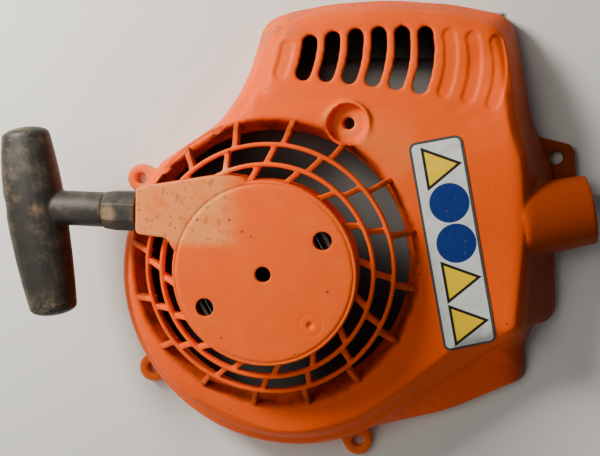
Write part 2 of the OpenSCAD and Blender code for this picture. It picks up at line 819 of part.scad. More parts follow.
module rope_lead() {
    pull = polar(1, pull_turn);
    bend = [channel_end_x, eyelet_y];
    drawn = unit(bend - lead_from);
    stations = [
        [lead_from + drawn * lead_clear, drawn], [bend - drawn * 6, drawn],
        [bend - drawn * 2, unit(2 * drawn + pull)],
        [bend + pull * 1, unit(drawn + 3 * pull)], [bend + pull * 4, pull], [bend + pull * 25, pull],
        [bend + pull * lead_knot, pull]
    ];
    rings = [for (s = stations) sweep_ring(s[0], s[1], rope_d / 2 - 0.05, rope_z)];
    sides = len(rings[0]);
    last = len(rings) - 1;
    color([0.85, 0.83, 0.78])
    polyhedron(
        [for (r = rings) each r],
        concat(
            [[for (k = [0 : sides - 1]) k]],
            [for (m = [0 : last - 1], k = [0 : sides - 1])
                let (j = (k + 1) % sides, a = m * sides, b = a + sides)
                each [[a + k, b + j, a + j], [a + k, b + k, b + j]]],
            [[for (k = [sides - 1 : -1 : 0]) last * sides + k]]
        )
    );
}

// Bar of the grip: a chain of oval slices, bowed away from the neck in the middle and rounded at the ends
function bar_half_w(t) = lerp(grip_half_w, 11, t * t);
function bar_shift(t) = 0.3 - 0.7 * t * t;

module bar_slice(t) {
    up = t > 0 ? bar_up : bar_down;
    w = bar_half_w(t);
    translate([bar_centre + bar_shift(t), t * (up - 4), 0])
        scale([w / 4, 1, grip_half_t / 4 * w / grip_half_w])
        sphere(r = 4, $fn = 24);
}

module grip_bar() {
    for (k = [-4 : 3])
        hull() {
            bar_slice(k / 4);
            bar_slice((k + 1) / 4);
        }
}

// Frame with +X along the pull line, from the eyelet outwards, and +Z forwards
module grip_frame() {
    translate(pull_origin) rotate([0, 0, pull_turn]) mirror([0, 1, 0]) children();
}

module grip_body() {
    color(black)
    grip_frame()
        difference() {
            union() {
                translate([bar_centre, 0, 0])
                    rotate([0, 0, bar_tilt])
                    translate([-bar_centre, 0, 0]) grip_bar();
                translate([nose_to + nose_taper, 0, 0])
                    rotate([0, 90, 0]) cylinder(r = neck_r, h = bar_centre - nose_to - nose_taper - 1.7, $fn = 40);
            }
            translate([-5, 0, 0]) rotate([0, 90, 0]) cylinder(r = rope_bore_r, h = 80, $fn = 32);
            translate([bar_centre - 1.2, 0, 0]) rotate([0, 90, 0]) cylinder(r = 5.3, h = 30, $fn = 36);
            translate([nose_to, 0, 0]) rotate([0, 90, 0]) cylinder(r = 4.2, h = nose_taper + 3, $fn = 32);
        }
}

module grip_nose() {
    flat = 8.6;
    color([0.13, 0.13, 0.13])
    grip_frame()
        difference() {
            union() {
                translate([nose_from, 0, 0])
                    rotate([0, 90, 0])
                    rotate([0, 0, 22.5])
                    cylinder(r = flat / cos(22.5), h = nose_to - nose_from, $fn = 8);
                translate([nose_to, 0, 0])
                    rotate([0, 90, 0])
                    rotate([0, 0, 22.5])
                    cylinder(r1 = flat / cos(22.5), r2 = (neck_r + 0.1) / cos(22.5), h = nose_taper, $fn = 8);
                translate([nose_to, 0, 0])
                    rotate([0, 90, 0]) cylinder(r = 4.15, h = nose_taper + 2, $fn = 32);
            }
            translate([-5, 0, 0]) rotate([0, 90, 0]) cylinder(r = rope_bore_r, h = 80, $fn = 32);
        }
}

module grip_knot() {
    color([0.85, 0.83, 0.78])
    grip_frame() translate([bar_centre + 4.4, 0, 0]) sphere(r = 4.2, $fn = 32);
}

module knot_washer() {
    color(steel)
    grip_frame() translate([bar_centre - 1.2, 0, 0]) rotate([0, 90, 0]) difference() {
        cylinder(r = 5, h = 1, $fn = 40);
        translate([0, 0, -1]) cylinder(r = rope_bore_r, h = 3, $fn = 32);
    }
}

fan_housing();
screw_ears();
front_boss();
air_spigot();
intake_grille();
starter_housing();
starter_post();
air_baffle();
safety_label();
rope_eyelet();
spring_cassette();
cassette_screws();
rewind_spring();
retaining_washer();
retaining_screw();
rope_rotor();
rotor_bush();
rope_winding();
rotor_knot();
pawl_pins();
pawl_pin_clips();
pawl_1();
pawl_2();
pawl_spring();
rope_lead();
grip_body();
grip_nose();
grip_knot();
knot_washer();
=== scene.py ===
"""Recoil starter of a small engine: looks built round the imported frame.

Every sub-assembly is a class that models and dresses its own pieces. Sizes are in metres and
places are in the part's own frame: +Z out of the front face, the rear rim on z = 0.
"""

from __future__ import annotations

import json
import logging
import math
from collections.abc import Callable
from dataclasses import dataclass, field
from enum import Enum

import bmesh
import bpy
import numpy as np
from mathutils import Matrix, Vector
from mathutils.bvhtree import BVHTree

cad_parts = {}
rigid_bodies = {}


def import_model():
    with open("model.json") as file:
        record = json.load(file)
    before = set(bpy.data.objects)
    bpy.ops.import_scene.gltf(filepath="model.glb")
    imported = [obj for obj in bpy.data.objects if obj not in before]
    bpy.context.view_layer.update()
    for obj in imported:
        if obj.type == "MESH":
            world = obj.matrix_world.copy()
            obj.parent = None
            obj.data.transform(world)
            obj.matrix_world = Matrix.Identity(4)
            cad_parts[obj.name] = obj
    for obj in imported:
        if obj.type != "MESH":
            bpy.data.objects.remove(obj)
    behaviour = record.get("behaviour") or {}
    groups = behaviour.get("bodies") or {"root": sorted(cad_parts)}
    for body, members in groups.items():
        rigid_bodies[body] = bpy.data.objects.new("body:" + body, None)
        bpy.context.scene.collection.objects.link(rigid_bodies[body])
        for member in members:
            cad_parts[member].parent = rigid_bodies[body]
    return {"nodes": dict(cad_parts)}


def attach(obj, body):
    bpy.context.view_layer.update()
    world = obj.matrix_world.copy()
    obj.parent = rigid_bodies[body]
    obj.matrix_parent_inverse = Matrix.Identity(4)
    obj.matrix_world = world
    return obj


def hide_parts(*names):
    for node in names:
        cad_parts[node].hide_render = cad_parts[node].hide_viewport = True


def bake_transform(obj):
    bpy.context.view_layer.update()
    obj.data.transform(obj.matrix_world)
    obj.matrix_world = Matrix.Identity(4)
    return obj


log = logging.getLogger("recoil_starter")

MM = 0.001
Colour = tuple[float, float, float]
Point = tuple[float, float, float]


class Shade(Enum):
    """Named colours of the finishes, in linear light."""

    ORANGE = (0.95, 0.105, 0.0)
    ORANGE_DEEP = (0.70, 0.060, 0.0)
    PEACH = (0.88, 0.30, 0.085)
    # Dark brown for grime, also used as painted shade
    GRIME = (0.085, 0.040, 0.020)
    # Dark brown, used as painted shade on the spigot side
    BROWNED = (0.17, 0.024, 0.001)
    # Near black for the black foam, also used as painted shade
    SOOT = (0.012, 0.010, 0.009)
    BLACK = (0.010, 0.0098, 0.0095)
    DUST = (0.20, 0.150, 0.105)
    TAN = (0.40, 0.25, 0.13)
    LABEL_WHITE = (0.72, 0.75, 0.76)
    LABEL_YELLOW = (0.92, 0.62, 0.0)
    LABEL_BLUE = (0.002, 0.025, 0.19)
    STEEL = (0.52, 0.53, 0.55)
    BLUED = (0.16, 0.20, 0.30)
    BRONZE = (0.50, 0.30, 0.11)
    CORD = (0.50, 0.46, 0.38)
    CORD_DARK = (0.24, 0.21, 0.17)
    FLOOR = (0.80, 0.80, 0.79)


# ---------------------------------------------------------------- shader maths


class Value:
    """A number that a shader works out, with the usual operators."""

    def __init__(self, maker: "MaterialMaker", socket: bpy.types.NodeSocket) -> None:
        """Wraps an output socket.

        Args:
            maker: the material that the socket belongs to.
            socket: the output socket.
        """
        self.maker = maker
        self.socket = socket

    def _math(self, kind: str, *terms: "Value | float") -> "Value":
        """Adds one Math node.

        Args:
            kind: the node's operation.
            terms: its inputs in order.

        Returns:
            The node's result.
        """
        inputs = {i: t for i, t in enumerate(terms)}
        node = self.maker.node("ShaderNodeMath", {"operation": kind}, inputs)
        return Value(self.maker, node.outputs[0])

    def __add__(self, other: "Value | float") -> "Value":
        """Sum."""
        return self._math("ADD", self, other)

    def __radd__(self, other: float) -> "Value":
        """Sum with a plain number first."""
        return self._math("ADD", other, self)

    def __sub__(self, other: "Value | float") -> "Value":
        """Difference."""
        return self._math("SUBTRACT", self, other)

    def __rsub__(self, other: float) -> "Value":
        """Difference with a plain number first."""
        return self._math("SUBTRACT", other, self)

    def __mul__(self, other: "Value | float") -> "Value":
        """Product."""
        return self._math("MULTIPLY", self, other)

    def __rmul__(self, other: float) -> "Value":
        """Product with a plain number first."""
        return self._math("MULTIPLY", other, self)

    def __truediv__(self, other: "Value | float") -> "Value":
        """Quotient."""
        return self._math("DIVIDE", self, other)

    def __pow__(self, other: float) -> "Value":
        """Power."""
        return self._math("POWER", self, other)

    def __neg__(self) -> "Value":
        """Opposite."""
        return self._math("MULTIPLY", self, -1.0)

    def size(self) -> "Value":
        """Absolute value."""
        return self._math("ABSOLUTE", self)

    def least(self, other: "Value | float") -> "Value":
        """Smaller of two."""
        return self._math("MINIMUM", self, other)

    def most(self, other: "Value | float") -> "Value":
        """Larger of two."""
        return self._math("MAXIMUM", self, other)

    def root(self) -> "Value":
        """Square root."""
        return self._math("SQRT", self)

    def step(self, start: float, end: float) -> "Value":
        """Soft step from 0 at start to 1 at end, or back if end is lower.

        Args:
            start: value at which the step begins.
            end: value at which it ends.

        Returns:
            The stepped value, from 0 to 1.
        """
        low, high = (start, end) if start < end else (end, start)
        node = self.maker.node(
            "ShaderNodeMapRange",
            {"interpolation_type": "SMOOTHSTEP"},
            {0: self, 1: low, 2: high, 3: 0.0, 4: 1.0},
        )
        out = Value(self.maker, node.outputs[0])
        return out if start < end else 1.0 - out


class MaterialMaker:
    """Builds one material round a Principled shader."""

    def __init__(self, name: str) -> None:
        """Starts the material.

        Args:
            name: the material's name.
        """
        self.material = bpy.data.materials.new(name)
        self.material.use_nodes = True
        self.tree = self.material.node_tree
        self.shader = next(n for n in self.tree.nodes if n.type == "BSDF_PRINCIPLED")
        place = self.node("ShaderNodeTexCoord")
        self.object_place = place.outputs["Object"]

    def node(
        self,
        kind: str,
        settings: dict[str, object] | None = None,
        sockets: dict[int | str, object] | None = None,
    ) -> bpy.types.Node:
        """Adds one node.

        Args:
            kind: the node's type.
            settings: its properties, which are set first.
            sockets: values or links of its inputs, by name or number.

        Returns:
            The node.
        """
        made = self.tree.nodes.new(kind)
        for key, value in (settings or {}).items():
            setattr(made, key, value)
        for key, value in (sockets or {}).items():
            self.feed(made.inputs[key], value)
        return made

    def feed(self, socket: bpy.types.NodeSocket, value: object) -> None:
        """Gives an input a link or a plain value.

        Args:
            socket: the input.
            value: a Value, an output socket, a Shade or a plain value.
        """
        if isinstance(value, Value):
            self.tree.links.new(value.socket, socket)
        elif isinstance(value, bpy.types.NodeSocket):
            self.tree.links.new(value, socket)
        elif isinstance(value, Shade):
            socket.default_value = (*value.value, 1.0)
        elif isinstance(value, tuple) and len(value) == 3 and socket.type == "RGBA":
            socket.default_value = (*value, 1.0)
        else:
            socket.default_value = value

    def axes(self) -> tuple[Value, Value, Value]:
        """The three coordinates of a point, in millimetres."""
        parts = self.node("ShaderNodeSeparateXYZ", sockets={0: self.object_place})
        return tuple(Value(self, o) * 1000.0 for o in parts.outputs)

    def attribute(self, name: str) -> Value:
        """Reads a number stored on the piece's points.

        Args:
            name: the attribute's name.

        Returns:
            The stored number.
        """
        node = self.node("ShaderNodeAttribute", {"attribute_name": name})
        return Value(self, node.outputs["Fac"])

    def noise(self, grain_mm: float, detail: float = 4.0, rough: float = 0.55, shift: float = 0.0) -> Value:
        """Cloudy pattern from 0 to 1.

        Args:
            grain_mm: size of its patches.
            detail: number of finer layers.
            rough: strength of the finer layers.
            shift: moves the pattern, so that two are not alike.

        Returns:
            The pattern.
        """
        moved = self.node(
            "ShaderNodeVectorMath",
            {"operation": "ADD"},
            {0: self.object_place, 1: (shift, shift * 0.7, shift * 0.3)},
        )
        node = self.node(
            "ShaderNodeTexNoise",
            sockets={
                "Vector": moved.outputs[0],
                "Scale": 1000.0 / grain_mm,
                "Detail": detail,
                "Roughness": rough,
            },
        )
        return Value(self, node.outputs["Fac"])

    def cells(self, grain_mm: float) -> Value:
        """Distance to the nearest of many scattered points, about 0 to 1.

        Args:
            grain_mm: usual distance between the points.

        Returns:
            The distance pattern.
        """
        node = self.node(
            "ShaderNodeTexVoronoi",
            sockets={"Vector": self.object_place, "Scale": 1000.0 / grain_mm},
        )
        return Value(self, node.outputs["Distance"])

    def mix(self, share: Value | float, first: object, second: object) -> bpy.types.NodeSocket:
        """Mixes two colours.

        Args:
            share: how much of the second shows, 0 to 1.
            first: colour at 0.
            second: colour at 1.

        Returns:
            The mixed colour's socket.
        """
        node = self.node("ShaderNodeMix", {"data_type": "RGBA", "clamp_factor": True})
        self.feed(node.inputs[0], share)
        self.feed(node.inputs[6], first)
        self.feed(node.inputs[7], second)
        return node.outputs[2]

    def bump(self, height: Value, depth_mm: float) -> None:
        """Roughens the surface by a height pattern.

        Args:
            height: the pattern.
            depth_mm: how deep it is.
        """
        node = self.node(
            "ShaderNodeBump", sockets={"Height": height, "Distance": depth_mm * MM, "Strength": 1.0}
        )
        self.feed(self.shader.inputs["Normal"], node.outputs[0])

    def surface(self, **values: object) -> bpy.types.Material:
        """Sets inputs of the shader and hands over the material.

        Args:
            values: input names with underscores for blanks, and their values.

        Returns:
            The finished material.
        """
        for name, value in values.items():
            self.feed(self.shader.inputs[name.replace("_", " ").title().replace("Ior", "IOR")], value)
        return self.material


# ---------------------------------------------------------------- finishes


@dataclass(frozen=True)
class WornOrangePlastic:
    """Satin orange moulding, bleached, scuffed and specked by use, with painted shade and a painted
    highlight.
    """

    name: str = "worn_orange_plastic"
    roughness: float = 0.40
    grain_mm: float = 1.1

    def make(self) -> bpy.types.Material:
        """Builds the finish."""
        m = MaterialMaker(self.name)
        x, y, z = m.axes()
        edge = m.attribute("edge")
        radius = (x * x + y * y).root()
        broad = m.noise(38.0, 3.0)
        patch = m.noise(9.0, 5.0, 0.62, 0.31)
        fine = m.noise(2.2, 5.0, 0.65, 0.12)
        colour = m.mix(broad.step(0.40, 0.72) * 0.30, Shade.ORANGE, Shade.ORANGE_DEEP)
        # Bleached areas: the rope channel, the ears, the boss and the cover; the rim beside the boss gets a
        # painted highlight
        channel = (x * -1.0).step(6.0, 20.0) * z.step(45.0, 52.0) * y.step(10.0, 16.0)
        ears = z.step(5.6, 4.6) * z.step(-1.0, 0.5)
        boss = self._near(x, y, 34.3, 63.1, 10.5, 8.0) * z.step(31.5, 27.0)
        # Painted highlight: the rim plateau beside the boss is made paler where light glints on it
        rim_highlight = self._near(x, y, 42.0, 55.0, 26.0, 6.0) * radius.step(64.0, 70.0) * z.step(30.0, 33.0)
        disc = z.step(57.5, 59.2) * radius.step(41.0, 38.0)
        bleach_and_highlight = (
            channel * (0.35 + patch.step(0.25, 0.52) * 0.5)
            + ears * 0.45
            + boss * 0.62
            + rim_highlight * 0.26
            + disc * (0.05 + patch.step(0.45, 0.75) * 0.12)
        )
        colour = m.mix(bleach_and_highlight, colour, Shade.PEACH)
        # Rubbed edges are paler, with a brown edge to the rub
        rub = (edge + (fine - 0.5) * 0.22).step(0.13, 0.30)
        colour = m.mix(rub * 0.42, colour, Shade.PEACH)
        corner = self._near(x, y, 0.0, 108.0, 17.0, 4.0)
        top = y.step(108.0, 115.0) * 0.55
        scuff = (corner + top).least(1.0) * patch.step(0.44, 0.60) * fine.step(0.38, 0.60)
        colour = m.mix(scuff * 0.60, colour, Shade.DUST)
        # Grime and painted shade in the intake's mouth and on the blades' lower parts; painted shade on the
        # inner faces low down
        mouth = radius.step(68.0, 64.0) * radius.step(41.0, 44.0) * z.step(52.0, 34.0)
        grime_and_shade = mouth * (0.18 + patch.step(0.42, 0.66) * 0.50)
        # Painted shade: the inner faces low down inside the housing are darkened
        inside = z.step(25.0, 10.0) * radius.step(66.0, 60.0)
        colour = m.mix((grime_and_shade + inside * 0.75).least(1.0), colour, Shade.GRIME)
        # The spigot and the flank beside it are painted darker, to stand in for shade
        side = x.step(101.0, 116.0) * z.step(40.0, 36.0) * 0.85
        colour = m.mix(side, colour, Shade.BROWNED)
        # Small dark chips, more along the edges
        dots = m.cells(7.5).step(0.105, 0.055) * m.noise(20.0, 2.0, 0.5, 0.77).step(0.46, 0.60)
        dark_rub = channel * m.noise(3.0, 6.0, 0.7, 0.5).step(0.54, 0.64)
        chips = edge.step(0.05, 0.20) * m.noise(1.6, 3.0, 0.6, 0.9).step(0.66, 0.72)
        specks = (dots * 0.75 + dark_rub * 0.45 + chips * 0.7).least(1.0)
        colour = m.mix(specks, colour, Shade.GRIME)
        rough = self.roughness + fine * 0.10 + bleach_and_highlight.least(1.0) * 0.22 + scuff * 0.25 + grime_and_shade * 0.2
        m.bump(m.noise(self.grain_mm, 3.0) + patch * 0.8 + specks * -0.8, 0.055)
        return m.surface(base_color=colour, roughness=rough, specular_ior_level=0.10)

    @staticmethod
    def _near(x: Value, y: Value, at_x: float, at_y: float, reach: float, soft: float) -> Value:
        """Round patch about a place seen from the front.

        Args:
            x: first coordinate in millimetres.
            y: second coordinate in millimetres.
            at_x: middle of the patch.
            at_y: middle of the patch.
            reach: its radius.
            soft: width of its soft edge.

        Returns:
            1 inside, 0 outside.
        """
        off_x, off_y = x - at_x, y - at_y
        return (off_x * off_x + off_y * off_y).root().step(reach, reach - soft)


@dataclass(frozen=True)
class DustyBlackRubber:
    """Hard black rubber with tan dust and rubbed ends."""

    name: str = "dusty_black_rubber"
    roughness: float = 0.42
    dust: float = 1.0

    def make(self) -> bpy.types.Material:
        """Builds the finish."""
        m = MaterialMaker(self.name)
        x, y, _ = m.axes()
        edge = m.attribute("edge")
        patch = m.noise(10.0, 6.0, 0.66)
        fine = m.noise(1.5, 4.0, 0.7, 0.4)
        left = (x * -1.0).step(106.0, 119.0)
        ends = (y.step(50.0, 64.0) + y.step(-8.0, -18.0)).least(1.0)
        nose = WornOrangePlastic._near(x, y, -69.3, 25.6, 5.5, 4.0)
        spot = WornOrangePlastic._near(x, y, -100.7, 28.0, 5.0, 4.5)
        film = patch.step(0.42, 0.72) * 0.34 + 0.05
        rub = edge.step(0.04, 0.16) * fine.step(0.42, 0.62)
        worn = (left * 0.30 + ends * 0.45) * fine.step(0.50, 0.66) * patch.step(0.36, 0.56)
        colour = m.mix(film * self.dust, Shade.BLACK, Shade.DUST)
        colour = m.mix((worn + rub * 0.5).least(1.0) * self.dust, colour, Shade.TAN)
        colour = m.mix((nose * 0.55 + spot * 0.42) * patch.step(0.30, 0.55), colour, Shade.TAN)
        m.bump(fine + patch, 0.10)
        return m.surface(base_color=colour, roughness=self.roughness + patch * 0.22, ior=1.5)


@dataclass(frozen=True)
class PlainFinish:
    """Even finish with a little mottling, for pieces inside or of metal."""

    name: str
    colour: Shade
    second: Shade
    roughness: float
    metallic: float = 0.0
    grain_mm: float = 3.0

    def make(self) -> bpy.types.Material:
        """Builds the finish."""
        m = MaterialMaker(self.name)
        mottle = m.noise(self.grain_mm, 4.0)
        colour = m.mix(mottle.step(0.35, 0.80) * 0.35, self.colour, self.second)
        m.bump(m.noise(self.grain_mm * 0.3, 2.0), 0.02)
        m.shader.inputs["Metallic"].default_value = self.metallic
        return m.surface(base_color=colour, roughness=self.roughness + mottle * 0.15)


@dataclass(frozen=True)
class BraidedCord:
    """Braided starter cord, its strands drawn by crossing slanted waves."""

    name: str = "braided_cord"
    strand_mm: float = 1.4

    def make(self) -> bpy.types.Material:
        """Builds the finish."""
        m = MaterialMaker(self.name)
        x, y, z = m.axes()
        turn = 2.0 * math.pi / self.strand_mm
        first = ((x + y * 0.4 + z) * turn)._math("SINE", (x + y * 0.4 + z) * turn)
        second = first._math("SINE", (x + y * 0.4 - z) * turn)
        weave = (first * second + 1.0) * 0.5
        colour = m.mix(weave * 0.6 + m.noise(5.0) * 0.25, Shade.CORD, Shade.CORD_DARK)
        m.bump(weave, 0.12)
        return m.surface(base_color=colour, roughness=0.85)


@dataclass(frozen=True)
class PrintedLabel:
    """Plain printed film: pale field, dark border, blank triangles and discs."""

    name: str = "printed_label"
    middle: tuple[float, float] = (80.1, 9.6)
    turn_deg: float = 9.8
    half: tuple[float, float] = (11.75, 46.95)
    triangles: tuple[float, ...] = (34.7, -16.0, -35.6)
    discs: tuple[float, ...] = (18.4, 0.4)

    def make(self) -> bpy.types.Material:
        """Builds the finish."""
        m = MaterialMaker(self.name)
        x, y, _ = m.axes()
        c, s = math.cos(math.radians(self.turn_deg)), math.sin(math.radians(self.turn_deg))
        off_x, off_y = x - self.middle[0], y - self.middle[1]
        across = off_x * c + off_y * s
        along = off_y * c - off_x * s
        # Distance inside the outline, with round corners
        side = (across.size() - (self.half[0] - 3.4)).most(0.0)
        end = (along.size() - (self.half[1] - 3.4)).most(0.0)
        inside = 3.4 - (side * side + end * end).root()
        border = inside.step(1.30, 1.10)
        dirt = m.noise(6.0, 6.0, 0.7)
        colour = m.mix(dirt.step(0.40, 0.85) * 0.35, Shade.LABEL_WHITE, Shade.DUST)
        colour = m.mix(border * 0.92, colour, Shade.BLACK)
        for middle in self.triangles:
            depth = self._triangle(across, along - middle)
            colour = m.mix(depth.step(-0.1, 0.1), colour, Shade.BLACK)
            colour = m.mix(depth.step(1.15, 1.35), colour, Shade.LABEL_YELLOW)
        for middle in self.discs:
            off = along - middle
            gap = ((across - 1.6) * (across - 1.6) + off * off).root()
            colour = m.mix(gap.step(8.8, 8.6), colour, Shade.LABEL_BLUE)
        spots = m.noise(2.4, 4.0, 0.7, 0.6).step(0.62, 0.70) * 0.5
        colour = m.mix(spots, colour, Shade.DUST)
        return m.surface(base_color=colour, roughness=0.30 + dirt * 0.25)

    @staticmethod
    def _triangle(across: Value, along: Value) -> Value:
        """Depth inside a triangle that points to the right.

        Args:
            across: place across the label in millimetres.
            along: place along the label from the triangle's middle.

        Returns:
            Distance inside its nearest side, negative outside.
        """
        slant = (10.1 - across) * 0.50 - along.size() * 0.866
        return slant.least(across + 6.7)


# ---------------------------------------------------------------- workbench


class Bench:
    """Selecting, copying and finishing of meshes by operators."""

    @staticmethod
    def clear() -> None:
        """Leaves edit mode and deselects everything."""
        if bpy.context.object and bpy.context.object.mode != "OBJECT":
            bpy.ops.object.mode_set(mode="OBJECT")
        for other in bpy.context.view_layer.objects:
            other.select_set(False)

    @staticmethod
    def pick(piece: bpy.types.Object) -> None:
        """Selects one piece and makes it the active one.

        Args:
            piece: the piece.
        """
        Bench.clear()
        piece.select_set(True)
        bpy.context.view_layer.objects.active = piece

    @staticmethod
    def copy(name: str, nodes: tuple[str, ...]) -> bpy.types.Object:
        """Copies frame nodes into one new mesh and merges its loose triangles.

        Args:
            name: the new piece's name.
            nodes: the frame's nodes.

        Returns:
            The new piece.
        """
        parts = []
        for node in nodes:
            part = FRAME["nodes"][node].copy()
            part.data = part.data.copy()
            part.name = f"{name}_{node}"
            part.hide_render = False
            bpy.context.scene.collection.objects.link(part)
            parts.append(part)
        Bench.clear()
        for part in parts:
            part.parent = None
            part.select_set(True)
        bpy.context.view_layer.objects.active = parts[0]
        if len(parts) > 1:
            bpy.ops.object.join()
        piece = bpy.context.view_layer.objects.active
        piece.name = name
        piece.data.name = name
        piece.data.materials.clear()
        Bench.merge(piece)
        return piece

    @staticmethod
    def merge(piece: bpy.types.Object, distance: float = 0.00001) -> None:
        """Merges doubled points.

        Args:
            piece: the piece.
            distance: how near two points are to be one.
        """
        Bench.pick(piece)
        bpy.ops.object.mode_set(mode="EDIT")
        bpy.ops.mesh.select_all(action="SELECT")
        bpy.ops.mesh.remove_doubles(threshold=distance)
        bpy.ops.object.mode_set(mode="OBJECT")

    @staticmethod
    def modify(piece: bpy.types.Object, kind: str, **settings: object) -> None:
        """Adds a modifier and applies it.

        Args:
            piece: the piece.
            kind: the modifier's type.
            settings: its properties.
        """
        Bench.pick(piece)
        made = piece.modifiers.new(kind.lower(), kind)
        for key, value in settings.items():
            setattr(made, key, value)
        bpy.ops.object.modifier_apply(modifier=made.name)

    @staticmethod
    def soften(piece: bpy.types.Object, voxel: float, passes: int, limit: int) -> None:
        """Fuses a piece's solids into one skin with softly rounded edges.

        Args:
            piece: the piece.
            voxel: cell size of the new skin.
            passes: how often it is smoothed.
            limit: largest number of triangles left.
        """
        Bench.modify(piece, "REMESH", mode="VOXEL", voxel_size=voxel, adaptivity=0.0)
        Bench.modify(piece, "SMOOTH", factor=0.5, iterations=passes)
        Bench.thin(piece, limit)

    @staticmethod
    def thin(piece: bpy.types.Object, limit: int) -> None:
        """Reduces a mesh to a number of triangles.

        Args:
            piece: the piece.
            limit: largest number of triangles left.
        """
        count = sum(len(f.vertices) - 2 for f in piece.data.polygons)
        if count > limit:
            Bench.modify(piece, "DECIMATE", ratio=limit / count)

    @staticmethod
    def measure_edges(piece: bpy.types.Object, passes: int = 1) -> None:
        """Stores on each point how sharply the surface turns outwards there.

        Args:
            piece: the piece.
            passes: how often the measure is spread to neighbours.
        """
        mesh = piece.data
        count = len(mesh.vertices)
        place = np.empty(count * 3, dtype=np.float64)
        normal = np.empty(count * 3, dtype=np.float64)
        mesh.vertices.foreach_get("co", place)
        mesh.vertices.foreach_get("normal", normal)
        place, normal = place.reshape(-1, 3), normal.reshape(-1, 3)
        pairs = np.empty(len(mesh.edges) * 2, dtype=np.int64)
        mesh.edges.foreach_get("vertices", pairs)
        a, b = pairs.reshape(-1, 2).T
        run = place[b] - place[a]
        length = np.maximum(np.linalg.norm(run, axis=1), 1e-9)
        run /= length[:, None]
        bend = np.zeros(count)
        share = np.zeros(count)
        np.add.at(bend, a, -(run * normal[a]).sum(axis=1))
        np.add.at(bend, b, (run * normal[b]).sum(axis=1))
        np.add.at(share, a, 1.0)
        np.add.at(share, b, 1.0)
        bend /= np.maximum(share, 1.0)
        for _ in range(passes):
            spread = np.zeros(count)
            np.add.at(spread, a, bend[b])
            np.add.at(spread, b, bend[a])
            bend = 0.5 * bend + 0.5 * spread / np.maximum(share, 1.0)
        layer = mesh.attributes.new("edge", "FLOAT", "POINT")
        layer.data.foreach_set("value", np.clip(bend, 0.0, 1.0).astype(np.float32))

    @staticmethod
    def finish(
        piece: bpy.types.Object, material: bpy.types.Material, body: str | None, slot: str
    ) -> None:
        """Gives a piece its finish and its body.

        Args:
            piece: the piece.
            material: its finish.
            body: the body that it rides on, or None for one that rides on no body.
            slot: not used.
        """
        piece.data.materials.clear()
        piece.data.materials.append(material)
        Bench.pick(piece)
        bpy.ops.object.shade_smooth_by_angle(angle=math.radians(40.0))
        if body:
            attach(piece, body)
        log.info("%s: %d faces", piece.name, len(piece.data.polygons))


# ---------------------------------------------------------------- sub-assemblies


